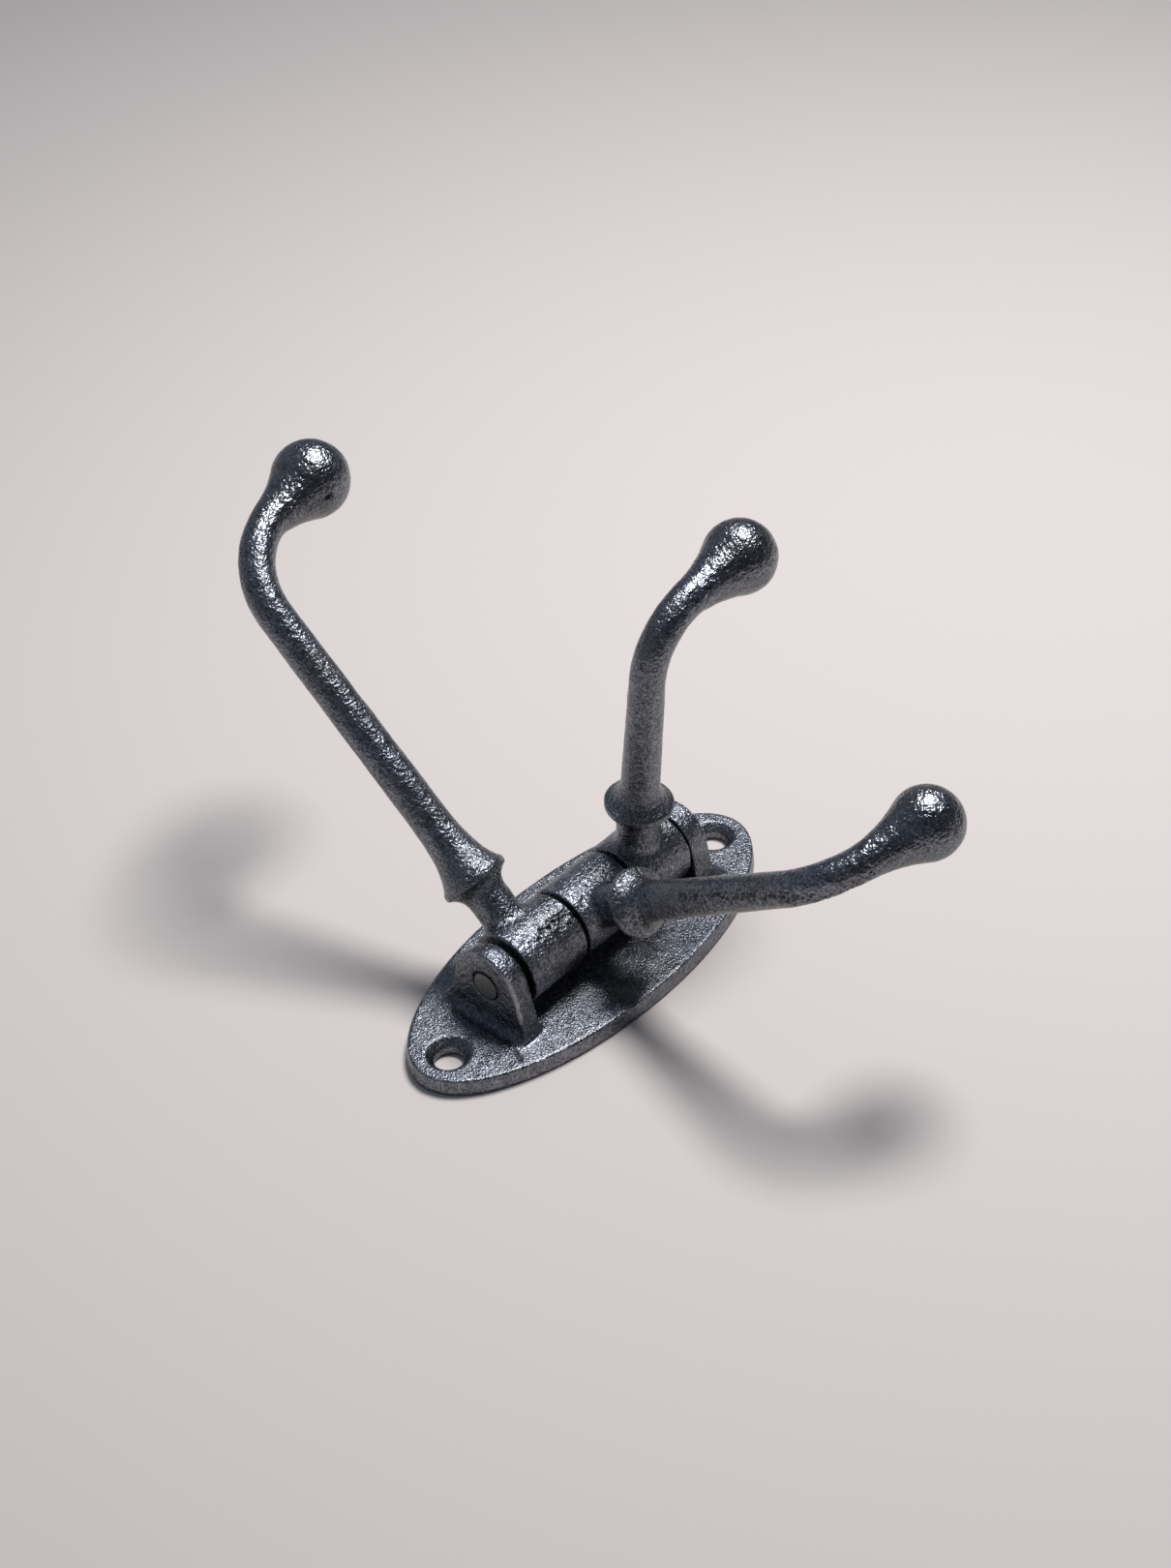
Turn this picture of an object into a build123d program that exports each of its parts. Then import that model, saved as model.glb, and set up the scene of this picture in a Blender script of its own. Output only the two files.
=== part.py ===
"""Swivel wall hook: an oval cast plate whose two ears hold a pin, and three
ball-ended cast arms that swing on the pin, side by side.

Millimetres. The origin is the centre of the plate's back face, which lies
against the wall in the plane Y = 0. +Z runs up the wall along the pin, +X to
the right, and the arms stand out of the wall towards -Y.
"""

from math import cos, radians, sin, sqrt
import os

from build123d import *

# Oval plate, measured at its back face
plate_length = 102.0
plate_width = 43.3
plate_thickness = 3.75
plate_draft = 0.4
plate_edge_round = 0.4

# Two countersunk screw holes on the plate's long axis
screw_inset = 8.0
screw_hole_radius = 3.2
countersink_radius = 4.9
countersink_angle = 90.0

# Ears cast in one with the plate, their middle a little above the plate's
ear_rise = 0.3
ear_span = 52.2
ear_thickness = 5.2
ear_top_radius = 7.4
ear_foot_width = 19.6
ear_face_round = 4.5
ear_flank_round = 2.5
ear_edge_break = 0.2

# Pin, with its ends flush in the ears
pin_height = 13.3
pin_radius = 3.35
pin_seat_clearance = 0.02
pin_end_chamfer = 0.25

# Barrel of each arm, bored to turn on the pin
barrel_radius = 8.5
barrel_gap = 1.1
barrel_edge_round = 0.25
barrel_shoulder = 0.1
bore_clearance = 0.06

# Neck and collar of each arm, measured outwards from the pin's axis. The neck
# leaves the barrel a little below its middle.
neck_drop = 0.9
neck_radius = 4.5
neck_round = 2.3
cove_length = 3.8
collar_distance = 17.9
collar_band = 1.4
collar_radius = 7.4
collar_edge_round = 0.4

# Flare from the collar down to the shank; its waist is a share of its length
flare_waist_share = 0.25
flare_waist_radius = 4.3
shank_root_radius = 4.15

# Lower arm, the longest
lower_swing_angle = -49.4
lower_reach = 107.2
lower_lift = 27.3
lower_bend_radius = 18.8
lower_bend_angle = 78.7
lower_shank_radius = 3.9
lower_ball_radius = 8.6
lower_ball_flare = 18.3
lower_flare_length = 14.7

# Middle arm
middle_swing_angle = 57.1
middle_reach = 83.5
middle_lift = 21.4
middle_bend_radius = 16.7
middle_bend_angle = 67.2
middle_shank_radius = 3.6
middle_ball_radius = 7.5
middle_ball_flare = 17.0
middle_flare_length = 5.6

# Upper arm, the shortest
upper_swing_angle = 5.9
upper_reach = 67.7
upper_lift = 27.9
upper_bend_radius = 14.4
upper_bend_angle = 85.9
upper_shank_radius = 3.7
upper_ball_radius = 7.9
upper_ball_flare = 19.2
upper_flare_length = 5.6

# Circles that shape the bend and the swelling to the ball, and a selector's tolerance
bend_sections = 9
match = 0.01

# Sizes that follow from the ones above
screw_spacing = plate_length - 2 * screw_inset
lower_ear_face = ear_rise - ear_span / 2
upper_ear_face = ear_rise + ear_span / 2
upper_ear_back = upper_ear_face + ear_thickness
ear_bore_radius = pin_radius + pin_seat_clearance
pin_length = ear_span + 2 * ear_thickness
barrel_length = (ear_span - 4 * barrel_gap) / 3
barrel_pitch = barrel_length + barrel_gap
neck_room = barrel_length / 2 - neck_drop - neck_radius - barrel_edge_round - barrel_shoulder
junction_round = min(neck_round, neck_room)
wall_up = Vector(0, 0, 1)


def cross_section(level):
    """Plane across the pin at a height on the wall, its Y pointing off the wall."""
    return Plane(origin=(0, 0, level), x_dir=(1, 0, 0), z_dir=(0, 0, -1))


def make_backplate():
    """Oval plate with drafted sides, two ears and two countersunk holes."""
    with BuildPart() as backplate:
        back_face = Plane(origin=(0, 0, 0), x_dir=(0, 0, 1), z_dir=(0, -1, 0))
        with BuildSketch(back_face):
            Ellipse(plate_length / 2, plate_width / 2)
        with BuildSketch(back_face.offset(plate_thickness)):
            Ellipse(plate_length / 2 - plate_draft, plate_width / 2 - plate_draft)
        loft()
        front_rim = backplate.faces().sort_by(Axis.Y)[0].edges()
        fillet(front_rim, radius=plate_edge_round)

        with BuildSketch(cross_section(lower_ear_face), cross_section(upper_ear_back)):
            with BuildLine():
                CenterArc((0, pin_height), ear_top_radius, 0, 180)
                Line((-ear_foot_width / 2, plate_thickness), (ear_foot_width / 2, plate_thickness))
            make_hull()
            with Locations((0, plate_thickness - plate_edge_round / 2)):
                Rectangle(ear_foot_width, plate_edge_round)
        extrude(amount=ear_thickness)

        foot = backplate.edges().filter_by(GeomType.LINE)
        foot = foot.filter_by_position(Axis.Y, -plate_thickness - match, -plate_thickness + match)
        faces_foot = foot.filter_by(Axis.X).sort_by(Axis.Z)
        fillet(faces_foot[:1] + faces_foot[-1:], radius=ear_face_round)
        foot = backplate.edges().filter_by(Axis.Z)
        flank_foot = foot.filter_by_position(Axis.Y, -plate_thickness - match, -plate_thickness + match)
        fillet(flank_foot, radius=ear_flank_round)

        with BuildSketch(cross_section(upper_ear_back)):
            with Locations((0, pin_height)):
                Circle(ear_bore_radius)
        extrude(amount=pin_length, mode=Mode.SUBTRACT)
        bore_mouths = backplate.edges().filter_by(GeomType.CIRCLE)
        bore_mouths = bore_mouths.filter_by(lambda edge: abs(edge.radius - ear_bore_radius) < match)
        bore_mouths = bore_mouths.sort_by(Axis.Z)
        chamfer(bore_mouths[:1] + bore_mouths[-1:], length=ear_edge_break)
        with Locations(back_face.offset(plate_thickness)):
            with GridLocations(screw_spacing, 0, 2, 1):
                CounterSinkHole(
                    screw_hole_radius, countersink_radius, counter_sink_angle=countersink_angle
                )
    return backplate


def make_pin():
    """Plain round pin through the ears and the three barrels."""
    with BuildPart() as pin:
        with BuildSketch(cross_section(upper_ear_back)):
            with Locations((0, pin_height)):
                Circle(pin_radius)
        extrude(amount=pin_length)
        chamfer(pin.edges().filter_by(GeomType.CIRCLE), length=pin_end_chamfer)
    return pin


def make_arm(barrel_level, swing_angle, reach, lift, bend_radius, bend_angle,
             shank_radius, ball_radius, ball_flare, flare_length):
    """One cast arm: barrel, neck, collar, shank, upward bend and ball.

    barrel_level is the height of the barrel's middle on the wall; the neck
    leaves the barrel neck_drop below it. swing_angle turns the arm from
    straight out of the wall towards +X. reach and lift place the ball's centre,
    outwards from the pin and upwards from the neck.
    """
    outward = Vector(sin(radians(swing_angle)), -cos(radians(swing_angle)), 0)
    across = outward.cross(wall_up)
    neck_root = (0, -pin_height, barrel_level - neck_drop)
    arm_plane = Plane(origin=neck_root, x_dir=outward, z_dir=across)

    # The bend turns the straight shank up to the ball's own straight stretch
    turn = radians(bend_angle)
    end_length = (lift - bend_radius * (1 - cos(turn))) / sin(turn)
    bend_start = reach - end_length * cos(turn) - bend_radius * sin(turn)
    curved_length = bend_radius * turn + end_length

    # The arm swells to the ball along an arc tangent to the shank and to the ball
    swell_radius = (ball_flare**2 + shank_radius**2 - ball_radius**2) / (
        2 * (ball_radius - shank_radius)
    )
    touch = ball_radius / (ball_radius + swell_radius)
    touch_distance = ball_flare * touch
    touch_radius = (shank_radius + swell_radius) * touch

    def radius_at(distance):
        """Radius of the arm at a distance before the ball's centre."""
        swell = max(ball_flare - distance, 0)
        return shank_radius + swell_radius - sqrt(swell_radius**2 - swell**2)

    ball_shoulder = ball_radius * sqrt(0.5)
    flare_start = collar_distance + collar_band
    flare_end = flare_start + flare_length
    neck_end = collar_distance - cove_length

    with BuildPart() as arm:
        with BuildSketch(cross_section(barrel_level + barrel_length / 2)):
            with Locations((0, pin_height)):
                Circle(barrel_radius)
        extrude(amount=barrel_length)

        with BuildSketch(arm_plane):
            with BuildLine():
                Line((flare_start, collar_radius), (collar_distance, collar_radius))
                TangentArc((neck_end, neck_radius), (collar_distance, collar_radius), tangent=(1, 0))
                Polyline((neck_end, neck_radius), (0, neck_radius), (0, 0), (bend_start, 0),
                         (bend_start, shank_radius), (flare_end, shank_root_radius))
                Bezier((flare_end, shank_root_radius),
                       (flare_start + flare_length * flare_waist_share, flare_waist_radius),
                       (flare_start, collar_radius))
            make_face()
        revolve(axis=Axis(arm_plane.origin, outward))

        junction = arm.edges().filter_by(GeomType.LINE, reverse=True)
        junction = junction.filter_by(GeomType.CIRCLE, reverse=True)
        fillet(junction, radius=junction_round)
        rim = arm.edges().filter_by(GeomType.CIRCLE)
        rim = rim.filter_by(lambda edge: abs(edge.radius - collar_radius) < match)
        fillet(rim, radius=collar_edge_round)
        barrel_ends = arm.edges().filter_by(GeomType.CIRCLE)
        barrel_ends = barrel_ends.filter_by(lambda edge: abs(edge.radius - barrel_radius) < match)
        fillet(barrel_ends, radius=barrel_edge_round)

        with BuildLine(arm_plane) as route:
            bend = JernArc((bend_start, 0), (1, 0), bend_radius, bend_angle)
            Line(bend @ 1, bend @ 1 + (bend % 1) * (end_length - touch_distance))
        line = route.wire()
        for step in range(bend_sections):
            share = step / (bend_sections - 1)
            with BuildSketch(Plane(origin=line @ share, z_dir=line % share)):
                Circle(radius_at(curved_length - share * line.length))
        sweep(path=line, multisection=True)

        ball_plane = Plane(origin=line @ 1, x_dir=line % 1, z_dir=across)
        with BuildSketch(ball_plane):
            with BuildLine():
                ThreePointArc(
                    (0, touch_radius),
                    (touch_distance + ball_shoulder, ball_shoulder),
                    (touch_distance + ball_radius, 0),
                )
                Polyline((touch_distance + ball_radius, 0), (0, 0), (0, touch_radius))
            make_face()
        revolve(axis=Axis(ball_plane.origin, ball_plane.x_dir))

        with BuildSketch(cross_section(barrel_level + barrel_length / 2)):
            with Locations((0, pin_height)):
                Circle(pin_radius + bore_clearance)
        extrude(amount=barrel_length, mode=Mode.SUBTRACT)
    return arm


backplate = make_backplate()
backplate.part.label = "backplate"

pivot_pin = make_pin()
pivot_pin.part.label = "pivot_pin"

lower_arm = make_arm(
    ear_rise - barrel_pitch, lower_swing_angle, lower_reach, lower_lift, lower_bend_radius,
    lower_bend_angle, lower_shank_radius, lower_ball_radius, lower_ball_flare, lower_flare_length,
)
lower_arm.part.label = "lower_arm"

middle_arm = make_arm(
    ear_rise, middle_swing_angle, middle_reach, middle_lift, middle_bend_radius,
    middle_bend_angle, middle_shank_radius, middle_ball_radius, middle_ball_flare, middle_flare_length,
)
middle_arm.part.label = "middle_arm"

upper_arm = make_arm(
    ear_rise + barrel_pitch, upper_swing_angle, upper_reach, upper_lift, upper_bend_radius,
    upper_bend_angle, upper_shank_radius, upper_ball_radius, upper_ball_flare, upper_flare_length,
)
upper_arm.part.label = "upper_arm"

os.makedirs("parts", exist_ok=True)
export_step(backplate.part, "parts/backplate.step")
export_step(pivot_pin.part, "parts/pivot_pin.step")
export_step(lower_arm.part, "parts/lower_arm.step")
export_step(middle_arm.part, "parts/middle_arm.step")
export_step(upper_arm.part, "parts/upper_arm.step")
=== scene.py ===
"""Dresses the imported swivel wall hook: sand-cast, tumbled and waxed iron.

Lengths are in metres and the frame is the model's own: the wall is the plane
Y = 0, +Z runs up the pin and the arms stand out towards -Y.
"""

import math

import bmesh
import bpy
from bpy.props import FloatProperty, FloatVectorProperty, IntProperty, PointerProperty
from mathutils import Matrix, Vector
import numpy as np


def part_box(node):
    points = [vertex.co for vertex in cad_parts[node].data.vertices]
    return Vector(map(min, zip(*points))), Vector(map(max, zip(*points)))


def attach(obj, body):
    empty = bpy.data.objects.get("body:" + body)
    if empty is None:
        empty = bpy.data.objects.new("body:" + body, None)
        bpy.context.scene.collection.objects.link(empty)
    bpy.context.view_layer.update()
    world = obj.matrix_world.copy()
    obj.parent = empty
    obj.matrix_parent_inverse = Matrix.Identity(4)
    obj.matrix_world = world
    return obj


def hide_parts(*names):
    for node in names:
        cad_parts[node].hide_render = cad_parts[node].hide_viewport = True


bl_info = {
    "name": "Swivel wall hook",
    "version": (1, 0, 0),
    "blender": (4, 5, 0),
    "location": "3D View > Sidebar > Wall hook",
    "description": "Cast skin, waxed iron finish, stage and camera for a swivel wall hook",
    "category": "Object",
}

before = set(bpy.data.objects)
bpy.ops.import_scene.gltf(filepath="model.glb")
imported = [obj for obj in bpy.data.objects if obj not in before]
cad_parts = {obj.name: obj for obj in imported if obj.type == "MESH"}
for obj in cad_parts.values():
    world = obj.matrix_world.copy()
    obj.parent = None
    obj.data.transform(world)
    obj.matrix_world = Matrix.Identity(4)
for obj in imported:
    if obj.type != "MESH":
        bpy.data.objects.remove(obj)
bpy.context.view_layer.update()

MM = 0.001
# Keeps a length that is divided by from being nothing
TINY = 1e-9
PIN_AXIS = Vector((0.0, -13.3 * MM, 0.0))
PLATE_FACE = -3.75 * MM
SCREW_HOLE_OFFSET = 43.0 * MM
# An ear's faces, as distances along the pin from the middle
EAR_INNER_FACE = 25.8 * MM
EAR_OUTER_FACE = 31.0 * MM

# Within this distance of the pin's axis there is no cast skin, and beyond it the skin fades in
BORE_REACH = 3.75 * MM
BORE_FADE = 0.8 * MM
# Smoothing steps that give a surface its level, and the height above it that counts as 1
LEVEL_STEPS = 12
CONVEX_UNIT = 0.05 * MM
# A CAD mesh's vertices closer together than this are one
MERGE_DISTANCE = 0.0005 * MM
# The part of a noise texture's range that the waves of the skin fill
WAVE_LOW, WAVE_HIGH = 0.3, 0.7
# What sets the lumps' noise apart from the grain's
LUMP_TURN = 31.7
# A gas pit's floor and rim, as shares of the pits' spacing
PIT_FLOOR, PIT_RIM = 0.10, 0.26
# Share of the rubbed reach that is rubbed fully, and share of the grain that is lost there
RUBBED_FULL = 0.4
RUBBED_LOSS = 0.1

# The cast skin's inputs
SKIN_INPUTS = {
    "Geometry": "NodeSocketGeometry",
    "Softening": "NodeSocketInt",
    "Grain size": "NodeSocketFloat",
    "Grain depth": "NodeSocketFloat",
    "Lump size": "NodeSocketFloat",
    "Lump depth": "NodeSocketFloat",
    "Pit spacing": "NodeSocketFloat",
    "Pit depth": "NodeSocketFloat",
    "Seed": "NodeSocketInt",
    "Bore reach": "NodeSocketFloat",
    "Ball centre": "NodeSocketVector",
    "Rubbed reach": "NodeSocketFloat",
    "Material": "NodeSocketMaterial",
}

# Centre of each arm's ball in mm: towards it the skin is rubbed smooth. The plate has none, so
# its own is far off.
BALL_CENTRES = {
    "backplate": (0.0, 1000.0, 0.0),
    "lower_arm": (-81.4, -83.1, 9.7),
    "middle_arm": (70.1, -58.7, 20.8),
    "upper_arm": (7.0, -80.6, 44.3),
}

# Flaws of the castings, each a groove or a pit: start, end, half width and depth in mm
FLAWS = {
    "backplate": [
        ((9.3, -4.0, -33.9), (12.9, -3.75, -35.4), 0.50, 0.50),
    ],
    "lower_arm": [
        ((-73.1, -83.3, 7.8), (-73.3, -83.0, 6.5), 0.62, 0.60),
        ((4.9, -20.3, -9.3), (4.1, -20.8, -10.6), 0.38, 0.26),
        ((4.1, -20.8, -10.6), (4.4, -20.6, -12.2), 0.44, 0.34),
        ((4.4, -20.6, -12.2), (3.6, -21.0, -13.7), 0.40, 0.30),
        ((3.6, -21.0, -13.7), (4.2, -20.7, -15.5), 0.42, 0.32),
        ((4.2, -20.7, -15.5), (3.4, -21.1, -17.5), 0.36, 0.24),
        ((4.9, -20.2, -11.6), (4.5, -20.5, -12.6), 0.36, 0.26),
        ((3.3, -21.1, -11.9), (3.1, -21.2, -13.6), 0.36, 0.20),
    ],
    "middle_arm": [
        ((46.1, -44.5, -4.2), (46.9, -44.9, -4.2), 0.42, 0.30),
        ((47.8, -46.2, -3.9), (48.3, -46.4, -3.9), 0.40, 0.28),
        ((49.9, -46.0, -4.3), (50.6, -46.2, -4.3), 0.45, 0.30),
        ((51.9, -48.1, -4.1), (52.5, -48.2, -4.1), 0.45, 0.32),
        ((54.2, -48.8, -4.1), (55.2, -49.2, -4.1), 0.60, 0.42),
        ((55.5, -50.4, -3.8), (55.9, -50.5, -3.8), 0.40, 0.28),
        ((57.0, -50.2, -3.7), (58.2, -50.5, -3.4), 0.58, 0.42),
        ((58.7, -50.1, -3.2), (59.2, -50.2, -3.0), 0.40, 0.26),
        ((60.4, -51.5, -2.4), (61.0, -51.6, -2.0), 0.42, 0.28),
        ((61.9, -50.8, -1.4), (62.3, -51.0, -1.1), 0.42, 0.26),
        ((20.1, -21.6, -3.8), (20.2, -21.9, -3.7), 0.50, 0.32),
        ((19.65, -24.6, -4.95), (19.9, -24.8, -4.9), 0.45, 0.28),
    ],
    "upper_arm": [],
}

# Bands of fine pitting: points along the middle and spread in mm, and number of pits
PITTED_BANDS = {
    "middle_arm": [
        ([(30.1, -35.4, -3.9), (39.0, -40.1, -4.2), (48.5, -45.4, -4.2), (57.3, -49.4, -3.6),
          (61.8, -49.8, -0.7), (66.0, -52.6, 2.7), (68.3, -56.2, 5.5)], 1.7, 150),
        ([(19.0, -24.0, -5.0), (20.1, -21.6, -3.8)], 2.0, 16),
    ],
    "lower_arm": [
        ([(4.8, -20.3, -9.5), (4.2, -20.7, -17.5)], 2.2, 34),
    ],
}

# Pits in these bands: half widths in mm, spread of their lengths in mm, depths as shares of the
# half width, and the chance of a pit at a band's edge against one in its middle
PIT_HALF_WIDTHS = (0.28, 0.60)
PIT_STRETCH = 0.22
PIT_DEPTH_SHARES = (0.45, 0.8)
PIT_EDGE_CHANCE = 0.05
# How far a flaw's middle is marked below the highest grain, where the skin's own spans 2
FLAW_SHADE = 4.0

# Lines on the plate that the finish marks: half width in mm, mark, and starts and ends in mm.
# A high mark is rubbed bare, and a low one darkens the finish as painted shade.
MARKED_LINES = [
    # The near ear's crest
    (0.55, 14.0, [
        ((6.4, -18.7, -31.0), (8.4, -13.9, -31.0)),
        ((8.4, -13.9, -31.0), (9.0, -10.0, -31.1)),
        ((9.0, -10.0, -31.1), (9.3, -7.0, -31.8)),
        ((9.3, -7.0, -31.8), (9.9, -4.6, -33.6)),
    ]),
    # The corner at its foot, darkened as painted shade
    (1.5, -6.0, [((-10.5, -4.4, -32.4), (9.0, -4.4, -32.4))]),
]

# Where the ears are reshaped, each from none to all: the rim by its distance from the pin's
# axis, the flanks by Y off the plate, the far crown by Y, and the near ear's toe by Y and by X
EAR_RIM = (4.0 * MM, 7.4 * MM)
EAR_FLANK = (PLATE_FACE, PLATE_FACE - 0.6 * MM)
FAR_CROWN = (-6.0 * MM, -12.0 * MM)
TOE_DROP = (-8.5 * MM, -4.0 * MM)
TOE_SIDE = (-5.0 * MM, -9.0 * MM)
TOE_LENGTH = 1.8 * MM
# Radius of the fillet under the near ear as modelled, and as it is drawn in
FOOT_FILLET = 4.5 * MM
TIGHT_FILLET = 2.4 * MM
# What of the fillet's skin is drawn in with it, and how far past the ear's face it begins
FILLET_SKIN = 1.5 * MM
FILLET_MARGIN = 0.1 * MM

# The backdrop: how far behind the plate it lies, how far under its rim it reaches, how far out
# it goes, and the discs seen through the screw holes
BACKDROP_BEHIND = 0.15 * MM
BACKDROP_INSET = 2.5 * MM
BACKDROP_RADIUS = 1.6
BACKDROP_SIDES = 96
HOLE_DISC_RADIUS = 4.5 * MM
HOLE_DISC_SIDES = 32

KEY_LAMP_PLACE = Vector((-0.024, -0.670, 0.248))
CAMERA_PLACE = Vector((0.26288, -0.36069, -0.28053))
CAMERA_TARGET = Vector((-0.03743, 0.0, 0.04265))
CAMERA_LEAN = math.radians(-52.477)
SENSOR_WIDTH = 36.0


def linear(hex_colour):
    """sRGB hex to a linear RGBA colour."""
    channels = [int(hex_colour[i:i + 2], 16) / 255 for i in (1, 3, 5)]
    rgb = [c / 12.92 if c <= 0.04045 else ((c + 0.055) / 1.055) ** 2.4 for c in channels]
    return (*rgb, 1.0)


def add(tree, kind, inputs=(), **settings):
    """Adds a node. inputs pairs a socket's name or index with a value or an output to link."""
    node = tree.nodes.new(kind)
    for key, value in settings.items():
        setattr(node, key, value)
    for key, value in dict(inputs).items():
        socket = node.inputs[key]
        if isinstance(value, bpy.types.NodeSocket):
            tree.links.new(value, socket)
        else:
            socket.default_value = value
    return node


class CastSkinSettings(bpy.types.PropertyGroup):
    """Shape of the castings' skin"""
    plate_voxel: FloatProperty(
        name="Plate mesh size", description="Edge of the backplate's quads",
        default=0.32 * MM, unit="LENGTH")
    arm_voxel: FloatProperty(
        name="Arm mesh size", description="Edge of the arms' quads",
        default=0.28 * MM, unit="LENGTH")
    near_ear_draft: FloatProperty(
        name="Near ear draft", description="How much wider the near ear is at its outer face",
        default=0.95 * MM, unit="LENGTH")
    far_ear_lift: FloatProperty(
        name="Far ear lift", description="How far the far ear's crown stands out further",
        default=0.4 * MM, unit="LENGTH")
    rubbed_reach: FloatProperty(
        name="Rubbed reach", description="Distance from a ball's centre that is rubbed smooth",
        default=30.0 * MM, unit="LENGTH")
    softening: IntProperty(
        name="Edge softening", description="Smoothing steps that wear the edges round", default=1)
    grain_size: FloatProperty(
        name="Grain size", description="Width of one bump left by the moulding sand",
        default=0.62 * MM, unit="LENGTH")
    grain_depth: FloatProperty(
        name="Grain depth", description="Height of those bumps", default=0.055 * MM, unit="LENGTH")
    lump_size: FloatProperty(
        name="Lump size", description="Width of the casting's slow unevenness",
        default=5.0 * MM, unit="LENGTH")
    lump_depth: FloatProperty(
        name="Lump depth", description="Height of that unevenness on the arms",
        default=0.14 * MM, unit="LENGTH")
    plate_lump_depth: FloatProperty(
        name="Plate lump depth", description="Height of that unevenness on the plate",
        default=0.05 * MM, unit="LENGTH")
    pit_size: FloatProperty(
        name="Pit spacing", description="Distance between gas pits",
        default=3.2 * MM, unit="LENGTH")
    pit_depth: FloatProperty(
        name="Pit depth", description="Depth of a gas pit", default=0.09 * MM, unit="LENGTH")
    plate_pit_depth: FloatProperty(
        name="Plate pit depth", description="Depth of a gas pit in the plate",
        default=0.04 * MM, unit="LENGTH")
    seed: IntProperty(name="Seed", description="Seed of the cast skin", default=7)


class FinishSettings(bpy.types.PropertyGroup):
    """Colours, roughness and patterns of the waxed iron and of the pin"""
    # The dark wax colour is also painted on the balls' wall-facing sides as painted shade
    wax_dark_and_shade: FloatVectorProperty(
        name="Dark wax", description="Waxed iron in the hollows", subtype="COLOR",
        size=4, default=linear("#474B54"))
    iron: FloatVectorProperty(
        name="Iron", description="Waxed iron, blue-grey", subtype="COLOR",
        size=4, default=linear("#989CA7"))
    bare_iron: FloatVectorProperty(
        name="Bare iron", description="Iron rubbed bright on its edges", subtype="COLOR",
        size=4, default=linear("#C4C6C6"))
    # This brown is painted on the sides turned to the wall as a painted reflection of the warm
    # backdrop; it is also the real faint stains and the pin's mottling
    brown: FloatVectorProperty(
        name="Brown wax", description="Brownish wax left on the sides turned to the wall",
        subtype="COLOR", size=4, default=linear("#706C60"))
    joint: FloatVectorProperty(
        name="Joint", description="Black wax and dirt in the joint round the pin",
        subtype="COLOR", size=4, default=linear("#17181A"))
    pin_steel: FloatVectorProperty(
        name="Pin steel", description="Ground and waxed end of the pin", subtype="COLOR",
        size=4, default=linear("#969998"))
    roughness: FloatProperty(
        name="Roughness", description="Mean roughness of the waxed iron", default=0.30)
    fleck_size: FloatProperty(
        name="Fleck size", description="Width of one wormy fleck of the iron",
        default=0.42 * MM, unit="LENGTH")
    fleck_depth: FloatProperty(
        name="Fleck depth", description="Height of the flecks", default=0.066 * MM, unit="LENGTH")
    dent_size: FloatProperty(
        name="Dent size", description="Width of one dent left by the tumbling",
        default=1.1 * MM, unit="LENGTH")
    dent_depth: FloatProperty(
        name="Dent depth", description="Depth of the dents", default=0.14 * MM, unit="LENGTH")
    patch_size: FloatProperty(
        name="Patch size", description="Width of a lighter or darker patch",
        default=2.6 * MM, unit="LENGTH")
    stain_size: FloatProperty(
        name="Stain size", description="Width of a faint brown stain",
        default=13.0 * MM, unit="LENGTH")
    mottle_size: FloatProperty(
        name="Mottle size", description="Width of the mottling on the pin's ends",
        default=0.6 * MM, unit="LENGTH")
    mottle_depth: FloatProperty(
        name="Mottle depth", description="Height of that mottling",
        default=0.03 * MM, unit="LENGTH")


class StageSettings(bpy.types.PropertyGroup):
    """Backdrop, light and lens"""
    floor_colour: FloatVectorProperty(
        name="Backdrop", description="Colour of the surface behind the plate", subtype="COLOR",
        size=4, default=linear("#DED5D2"))
    lens: FloatProperty(
        name="Lens", description="Focal length in mm on a 36 mm sensor", default=56.4)
    key_power: FloatProperty(
        name="Key light", description="Power of the soft key lamp", default=4.74, unit="POWER")
    key_size: FloatProperty(
        name="Key size", description="Width of the key lamp", default=0.24, unit="LENGTH")
    key_colour: FloatVectorProperty(
        name="Key colour", description="Colour of the key lamp", subtype="COLOR",
        size=4, default=linear("#FFFFFF"))
    sky: FloatVectorProperty(
        name="Room", description="Colour of the light that the room gives all round",
        subtype="COLOR", size=4, default=linear("#C9D6E6"))
    left_fill: FloatProperty(
        name="Left fill", description="Strength of the room's light from the left",
        default=0.357)
    right_fill: FloatProperty(
        name="Right fill", description="Strength of the room's light from the right",
        default=0.068)


def distance_from_pin(tree, position):
    """Adds the distance of a position from the pin's axis and returns it as an output."""
    from_pin = add(tree, "ShaderNodeVectorMath", {0: position, 1: PIN_AXIS}, operation="SUBTRACT")
    across_pin = add(tree, "ShaderNodeVectorMath", {0: from_pin.outputs[0], 1: (1, 1, 0)},
                     operation="MULTIPLY")
    return add(tree, "ShaderNodeVectorMath", {0: across_pin.outputs[0]},
               operation="LENGTH").outputs["Value"]


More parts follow.
